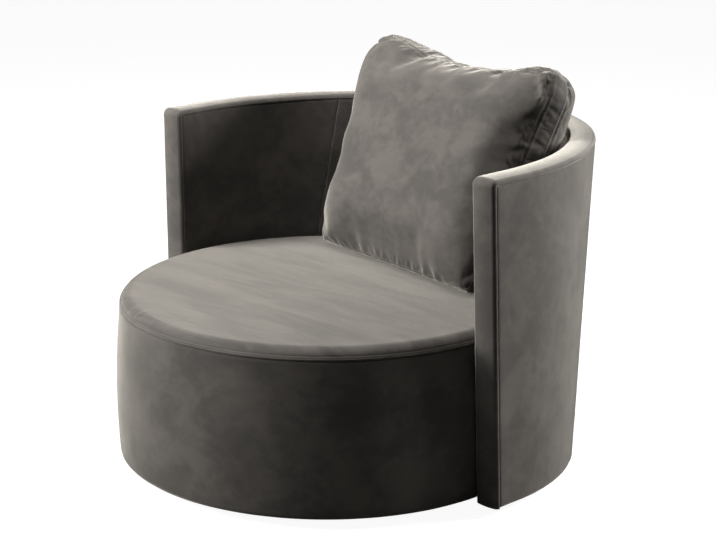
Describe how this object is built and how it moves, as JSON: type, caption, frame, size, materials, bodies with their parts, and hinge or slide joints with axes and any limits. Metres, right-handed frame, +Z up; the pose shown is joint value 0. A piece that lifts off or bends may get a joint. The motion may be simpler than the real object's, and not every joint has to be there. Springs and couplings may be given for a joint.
{
  "type": "cuddle chair",
  "caption": "Round upholstered cuddle chair: a domed seat drum inside a tall wrap-round wall with a raked back, a loose boxed cushion, and a low plinth with a hidden ball-bearing swivel.",
  "frame": {"origin": "floor point on the swivel axis, under the middle of the whole chair", "axes": "+Z up, +Y towards the back of the chair, so the open front faces -Y; +X is the right arm as seen from the front"},
  "size_m": [1.212, 1.2323, 0.964],
  "materials": {
    "velvet": "dark warm grey velvet pile",
    "foam": "cut polyurethane foam",
    "wadding": "bonded polyester fibre",
    "plywood": "birch plywood",
    "softwood": "planed pine",
    "hardboard": "smooth brown hardboard",
    "webbing": "woven elastic webbing",
    "black_cloth": "bonded non-woven cloth",
    "zinc_steel": "zinc plated",
    "ball_steel": "polished bearing steel",
    "cage_nylon": "moulded nylon",
    "glide_plastic": "hard polyethylene",
    "zip_nylon": "nylon coil on woven tape",
    "zip_metal": "dark lacquered zinc"
  },
  "bodies": {
    "base": {"base_plinth": "plywood", "base_glides": "glide_plastic", "swivel_lower_plate": "zinc_steel", "lower_plate_screws": "zinc_steel", "centre_rivet": "zinc_steel"},
    "ball_ring": {"swivel_cage": "cage_nylon", "swivel_balls": "ball_steel"},
    "seat": {"seat_side_cover": "velvet", "seat_top_cover": "velvet", "border_rim": "velvet", "border_arm_fronts": "velvet", "outer_cover_right": "velvet", "outer_cover_centre": "velvet", "outer_cover_left": "velvet", "inner_cover_right": "velvet", "inner_cover_centre": "velvet", "inner_cover_left": "velvet", "seat_foam": "foam", "inner_wall_foam": "foam", "rim_foam": "foam", "arm_front_foam": "foam", "seat_side_padding": "wadding", "outer_wadding": "wadding", "bottom_board": "plywood", "cross_beams": "plywood", "back_beams": "plywood", "seat_ring": "plywood", "wall_bottom_rib": "plywood", "wall_middle_rib": "plywood", "wall_top_rail": "plywood", "seat_posts": "softwood", "wall_studs": "softwood", "arm_posts": "softwood", "drum_skin": "hardboard", "outer_lining": "hardboard", "inner_lining": "hardboard", "webbing_lengthwise": "webbing", "webbing_crosswise": "webbing", "dust_cover": "black_cloth", "wall_base_cloth": "black_cloth", "swivel_upper_plate": "zinc_steel", "upper_plate_screws": "zinc_steel", "beam_bolts": "zinc_steel"},
    "cushion": {"cushion_front_panel": "velvet", "cushion_back_panel": "velvet", "cushion_gusset": "velvet", "cushion_filling": "wadding", "cushion_zip": "zip_nylon"},
    "zip_slider": {"zip_slider": "zip_metal"}
  },
  "joints": [
    {"name": "seat_swivel", "type": "hinge", "parent": "base", "child": "seat", "pos_m": [0, 0, 0.0257], "axis": [0, 0, 1], "continuous": true},
    {"name": "cage_turn", "type": "hinge", "parent": "base", "child": "ball_ring", "pos_m": [0, 0, 0.0257], "axis": [0, 0, 1], "continuous": true},
    {"name": "cushion_lift", "type": "slide", "parent": "seat", "child": "cushion", "axis": [0, 0, 1], "range_m": [0, 0.45]},
    {"name": "zip_slide", "type": "slide", "parent": "cushion", "child": "zip_slider", "axis": [0.9903, -0.1392, 0], "range_m": [0, 0.438]}
  ],
  "couplings": [
    {"joint": "cage_turn", "follows": "seat_swivel", "ratio": 0.5}
  ]
}
